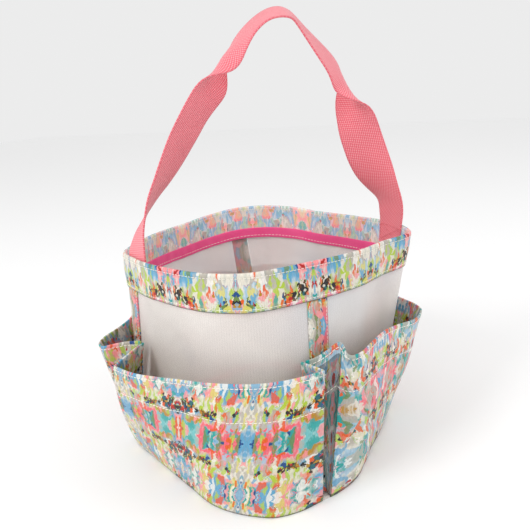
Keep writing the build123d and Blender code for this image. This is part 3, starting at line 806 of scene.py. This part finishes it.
def build_pocket(name, low_a, low_b, top):
    n = len(top)
    kinds = [t[3] for t in top]
    first = kinds.index("p")
    last = n - 1 - kinds[::-1].index("p")
    low = []
    for i in range(n):
        if i < first:
            low.append((low_a + 0.15 * i / first, float(base_r(low_a)) - 3.2 + 3.0 * i / first))
        elif i > last:
            low.append((low_b - 0.15 * (n - 1 - i) / (n - 1 - last), float(base_r(low_b)) - 3.2 + 3.0 * (n - 1 - i) / (n - 1 - last)))
        else:
            t = (i - first) / (last - first)
            az = low_a + 0.5 + (low_b - low_a - 1.0) * t
            low.append((az, float(base_r(az)) - 0.1))
    def xy(az, r, z):
        a = math.radians(az)
        return (r * math.sin(a), -r * math.cos(a), z)
    T, idx = catmull([xy(a, r, z) for a, r, z, _ in top], 12)
    B_az = np.interp(idx, range(n), [l[0] for l in low])
    m = (idx >= first) & (idx <= last)
    B_r = np.where(m, base_r(B_az) - 0.1, np.interp(idx, range(n), [l[1] for l in low]))
    T_az = np.unwrap(np.arctan2(T[:, 0], -T[:, 1])) * 180 / math.pi
    T_az += round((B_az[0] - T_az[0]) / 360.0) * 360.0
    T_r = np.hypot(T[:, 0], T[:, 1])
    T_z = T[:, 2]
    on_panel = np.clip(np.minimum(idx - first, last - idx) / 2.0, 0, 1)
    on_panel = on_panel * on_panel * (3 - 2 * on_panel)
    ss = np.concatenate([np.linspace(0, 0.04, 3)[:-1], np.linspace(0.04, 1.0, 34)])
    u = arc_len(T) * 1.0
    rows = []
    for s in ss:
        az = B_az + (T_az - B_az) * s
        r = B_r + (T_r - B_r) * s
        h = math.sin(math.pi * s)
        # soft sag of the cloth between the folds, small buckles and long creases
        r = r + on_panel * h * (1.6 + 1.5 * np.sin(u * 0.041 + s * 2.2) + 0.8 * np.sin(u * 0.11 - 3.1 * s))
        r = r + on_panel * (0.45 * np.sin(u * 0.23 + 5 * s) * h + 0.5 * np.sin(u * 0.085 + 9 * s + 1.3) * h * (1 - s))
        if name == "right":
            # a long pulled crease from the foot of the pleat up across the panel
            d = (az - (43.0 + 54.0 * (s - 0.2))) / 3.2
            w = on_panel * np.clip(min((s - 0.08) / 0.2, (0.80 - s) / 0.25), 0, 1)
            r = r + w * (2.4 * np.exp(-(d + 1.7) ** 2) - 3.2 * np.exp(-d ** 2) + 1.2 * np.exp(-(d - 1.9) ** 2))
        z = 0.6 + (T_z - 0.6) * s
        a = np.radians(az)
        rows.append(np.stack([r * np.sin(a), -r * np.cos(a), z], -1))
    rows = np.array(rows)                       # [s][i][xyz] base to rim
    # inward direction of the cloth
    dT = np.gradient(rows, axis=1)
    inward = np.stack([-dT[..., 1], dT[..., 0], 0 * dT[..., 0]], -1)
    inward /= np.maximum(np.linalg.norm(inward, axis=-1), 1e-9)[..., None]
    gap = 1.35
    path = [rows[k] for k in range(len(ss))]
    vv = [float(np.mean(T_z)) * (1 - s) for s in ss]
    rim, nin = rows[-1], inward[-1]
    for t in np.linspace(25, 155, 6):
        c, s_ = math.cos(math.radians(t)), math.sin(math.radians(t))
        path.append(rim + nin * gap / 2 * (1 - c) + np.array([0, 0, 1.0]) * gap * 0.55 * s_)
        vv.append(0.0)
    hem = 33.5
    for q in np.linspace(0, 1, 12):
        s = 1 - q * hem / 125.0
        k = np.interp(s, ss, range(len(ss)))
        k0 = int(math.floor(k))
        k1 = min(k0 + 1, len(ss) - 1)
        f = k - k0
        base = rows[k0] * (1 - f) + rows[k1] * f
        nn = inward[k0] * (1 - f) + inward[k1] * f
        path.append(base + nn * (gap if q < 0.95 else gap * 0.8))
        vv.append(q * hem)
    path = np.array(path)
    P = path.transpose(1, 0, 2).copy()
    P[..., 0] = (P[..., 0] + OX)
    P[..., 1] = (P[..., 1] + OY)
    P *= 1e-3
    UV = np.zeros(P.shape[:2] + (2,))
    UV[..., 0] = (u * 1e-3)[:, None]
    UV[..., 1] = (np.array(vv) * 1e-3)[None, :]
    ob = grid("pocket_" + name + "_cloth", P, UV)
    # the faces of the right pocket's first pleat, below the hem, take the darker print copy: painted shade
    if name == "right":
        nj = P.shape[1] - 1
        top_row = len(ss) - 3
        for k, poly in enumerate(ob.data.polygons):
            i, j = divmod(k, nj)
            if idx[i] < first and j < top_row:
                poly.material_index = 1
    thicken(ob, 0.6)
    which = [poly.material_index for poly in ob.data.polygons]
    dress(ob, M_PRINT[name], ["pocket_" + name])
    if name == "right":
        ob.data.materials.append(M_PLEAT_PAINTED_SHADE)
        ob.data.polygons.foreach_set("material_index", which)
    height = float(np.mean(T_z))
    area = abs(float(arc_len(T)[-1])) * (height + hem) * 1e-6
    # stitch lines: hem and rim edge
    lines = []
    for drop in (hem - 1.0, 2.6):
        s = 1 - drop / 125.0
        k = np.interp(s, ss, range(len(ss)))
        k0 = int(math.floor(k))
        f = k - k0
        base = rows[k0] * (1 - f) + rows[min(k0 + 1, len(ss) - 1)] * f
        nn = -(inward[k0] * (1 - f) + inward[min(k0 + 1, len(ss) - 1)] * f)
        Q = base + nn * 0.32
        Q = (Q + np.array([OX, OY, 0])) * 1e-3
        lines.append((Q[2:-2], nn[2:-2]))
    st = stitches("pocket_stitching_" + name, lines, 2.9, 0.7, 0.3, 0.05)
    dress(st, M_THREAD)


# ------------------------------------------------------------------ handle
# the two places where the webbing rolls over: where along it, how far its
# section bows in radians (the sign is the side), and over what length
FOLD_A = (176.0, -2.7, 20.0)
FOLD_B = (340.0, -2.1, 16.0)


def build_handle():
    def end(az):
        d = 0.65 + 1.2 + 0.5 + WEB_T / 2 - 0.35
        r = rim_r(az) - 1.85 - d
        a = math.radians(az)
        return np.array([r * math.sin(a) + OX, -r * math.cos(a) + OY, 0.0])
    L, R = end(-40.0), end(117.5)
    D = R - L
    span = np.linalg.norm(D)
    D = D / span
    N = np.array([-D[1], D[0], 0.0])
    fine = np.arange(0, ARC[-1] + 0.5, 0.5)
    s = smooth_array(np.interp(fine, ARC, PATH_S), 9.0) * (span / 243.335)
    z = smooth_array(np.interp(fine, ARC, PATH_Z), 9.0)
    tu = smooth_array(np.interp(fine, ARC, TURN), 8.0)
    pos = L[None, :] + D[None, :] * s[:, None] + np.array([0, 0, 1.0])[None, :] * z[:, None]
    keep = (fine > 6) & (fine < ARC[-1] - 5)
    pos, tu = pos[keep], tu[keep]
    # sewn ends, flat on the inside of the band
    def sewn(az, zz):
        d = 2.35 + WEB_T / 2
        r = wall_r(az, np.minimum(zz, RIM_Z)) - d + 0.45
        a = math.radians(az)
        return np.stack([r * math.sin(a) + OX, -r * math.cos(a) + OY, zz], -1)
    zl = np.arange(180.2, 203.5, 0.8)
    left = sewn(-40.0, zl)
    right = sewn(117.5, zl[::-1])
    joined = np.concatenate([left, pos, right])
    turns = np.concatenate([np.full(len(left), 17.8), tu, np.full(len(right), -4.0)])
    arc = arc_len(joined)
    a = np.arange(0, arc[-1], 1.6)
    C = np.stack([smooth_array(np.interp(a, arc, joined[:, k]), 2.0) for k in range(3)], -1)
    tt = np.radians(smooth_array(np.interp(a, arc, turns), 1.5))
    C[0], C[-1] = joined[0], joined[-1]
    T = np.gradient(C, axis=0)
    T /= np.linalg.norm(T, axis=1)[:, None]
    across = np.tile(N, (len(C), 1))
    across -= (across * T).sum(1)[:, None] * T
    across /= np.linalg.norm(across, axis=1)[:, None]
    side = np.cross(T, across)
    W = across * np.cos(tt)[:, None] + side * np.sin(tt)[:, None]
    K = np.cross(T, W)
    # cross section of the webbing: thin, rounded selvedges
    sec = []
    half = WEB_W / 2
    m = 16
    for k in range(m + 1):
        x = -half + 0.5 + (WEB_W - 1.0) * k / m
        sec.append((x, WEB_T / 2 * (0.92 + 0.08 * math.cos(k * math.pi))))
    sec.append((half, 0.35))
    sec.append((half, -0.35))
    for k in range(m + 1):
        x = half - 0.5 - (WEB_W - 1.0) * k / m
        sec.append((x, -WEB_T / 2))
    sec.append((-half, -0.35))
    sec.append((-half, 0.35))
    sec = np.array(sec)
    # how hard the webbing twists here
    twist = np.abs(np.gradient(tt))
    curl = np.clip(smooth_array(twist, 4.0) * 16.0, 0, 1)
    nj = len(sec)
    V = []
    off = arc[len(left)] - fine[keep][0]
    for i in range(len(C)):
        # the webbing rolls over on itself where it turns: its section bows to an arc
        s0 = a[i] - off
        bow = (FOLD_A[1] * math.exp(-((s0 - FOLD_A[0]) / FOLD_A[2]) ** 2)
               + FOLD_B[1] * math.exp(-((s0 - FOLD_B[0]) / FOLD_B[2]) ** 2))
        # and follows the band's curve where it is sewn
        near = max(0.0, min(1.0, 1.0 - (min(a[i], arc[-1] - a[i]) - 20.0) / 28.0))
        bow -= 0.30 * near * near * (3 - 2 * near)
        sgn = -1.0 if bow < 0 else 1.0
        th = max(abs(bow), 0.02) * WEB_W / 2 / half
        rad = WEB_W / th
        ang = sec[:, 0] / rad
        mean = rad * (1 - math.sin(th / 2) / (th / 2))
        rr = rad - sgn * sec[:, 1]
        V.append(C[i] + W[i] * (rr * np.sin(ang))[:, None]
                 + K[i] * (sgn * (rad - rr * np.cos(ang) - mean))[:, None])
    V = np.array(V) * 1e-3
    faces, uvs = [], []
    su = np.array([x + half for x, _ in sec]) * 1e-3
    for i in range(len(C) - 1):
        for j in range(nj):
            k = (j + 1) % nj
            faces.append((i * nj + j, (i + 1) * nj + j, (i + 1) * nj + k, i * nj + k))
            uvs.append(((su[j], a[i] * 1e-3), (su[j], a[i + 1] * 1e-3), (su[k], a[i + 1] * 1e-3), (su[k], a[i] * 1e-3)))
    for i, rev in ((0, False), (len(C) - 1, True)):
        f = tuple(i * nj + j for j in range(nj))
        f = f if rev else tuple(reversed(f))
        faces.append(f)
        uvs.append(tuple((su[j % nj], a[i] * 1e-3) for j in range(nj)))
    ob = make_mesh("webbing_handle", V.reshape(-1, 3), faces, uvs)
    dress(ob, M_WEB, ["handle_strap", "handle_tab_left", "handle_tab_right"], body=None)
    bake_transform(ob)
    # box of stitching through the sewn ends
    lines = []
    for az in (-40.0, 117.5):
        h = math.degrees(15.5 / 122.0)
        def at(da, zz):
            aa = az + h * np.asarray(da)
            A = np.radians(aa)
            rr = wall_r(aa, zz) - 3.75
            return place(aa, rr, zz), np.stack([-np.sin(A), np.cos(A), 0 * A], -1)
        g = np.linspace(-1, 1, 16)
        for zz in (184.0, 199.5):
            lines.append(at(g, np.full(16, zz)))
        for e in (-1, 1):
            lines.append(at(np.full(16, e), np.linspace(184.0, 199.5, 16)))
        lines.append(at(g, np.linspace(184.0, 199.5, 16)))
        lines.append(at(g, np.linspace(199.5, 184.0, 16)))
    st = stitches("handle_stitching", lines, 2.4, 0.6, 0.28, 0.05)
    dress(st, plain_cloth("pink_thread", "#E0707C", "#EE8A92", 0.5, 1500.0, 0.2))


build_wall()
build_band()
build_binding()
build_base()
for nm, t, l in STRIPS:
    build_strip(nm, t, l)
for nm, la, lb, tp in POCKETS:
    build_pocket(nm, la, lb, tp)
build_handle()

# ------------------------------------------------------------------ floor, light, camera
floor = make_mesh("floor", [(-4, -4, 0), (4, -4, 0), (4, 4, 0), (-4, 4, 0)], [(0, 1, 2, 3)], smooth=False)
fm = Nodes("pale_floor")
fp = fm.n("ShaderNodeBsdfPrincipled")
fp.inputs["Base Color"].default_value = (0.97, 0.97, 0.97, 1)
fp.inputs["Roughness"].default_value = 1.0
fm.link(fp.outputs[0], fm.out.inputs[0])
floor.data.materials.append(fm.mat)

world = bpy.data.worlds.new("studio")
world.use_nodes = True
world.node_tree.nodes["Background"].inputs[0].default_value = (1.0, 1.0, 1.0, 1)
world.node_tree.nodes["Background"].inputs[1].default_value = 0.84
bpy.context.scene.world = world
bpy.context.scene.view_settings.view_transform = "Standard"


def area(name, loc, target, size, power):
    d = bpy.data.lights.new(name, "AREA")
    d.size = size
    d.energy = power
    o = bpy.data.objects.new(name, d)
    o.location = loc
    o.rotation_euler = (Vector(target) - Vector(loc)).to_track_quat("-Z", "Y").to_euler()
    bpy.context.scene.collection.objects.link(o)


CA = math.radians(24.0)


def turn(x, y):
    return (x * math.cos(CA) - y * math.sin(CA), x * math.sin(CA) + y * math.cos(CA))


kx, ky = turn(-1.25, -0.95)
area("key", (kx, ky, 1.35), (0, 0, 0.15), 0.6, 14.0)
kx, ky = turn(1.3, -0.35)
area("fill", (kx, ky, 1.1), (0, 0, 0.15), 0.9, 5.0)

cam_data = bpy.data.cameras.new("camera")
cam_data.sensor_width = 36.0
cam_data.lens = 598.849 / 530 * 36.0
cam_data.clip_start = 0.01
cam = bpy.data.objects.new("camera", cam_data)
bpy.context.scene.collection.objects.link(cam)
pitch, yaw, roll = 0.293, 0.003, -0.072
fwd = Vector((math.sin(yaw) * math.cos(pitch), math.cos(yaw) * math.cos(pitch), -math.sin(pitch)))
rt = Vector((math.cos(yaw), -math.sin(yaw), 0.0))
up = rt.cross(fwd)
r2 = rt * math.cos(roll) + up * math.sin(roll)
u2 = up * math.cos(roll) - rt * math.sin(roll)
Rz = Matrix.Rotation(CA, 3, "Z")
loc = Rz @ Vector((0, -4.443 * 0.125, 2.711 * 0.125)) + Vector((OX * 1e-3, OY * 1e-3, 0))
m = Matrix((Rz @ r2, Rz @ u2, Rz @ (-fwd))).transposed().to_4x4()
m.translation = loc
cam.matrix_world = m
bpy.context.scene.camera = cam

bpy.context.view_layer.update()
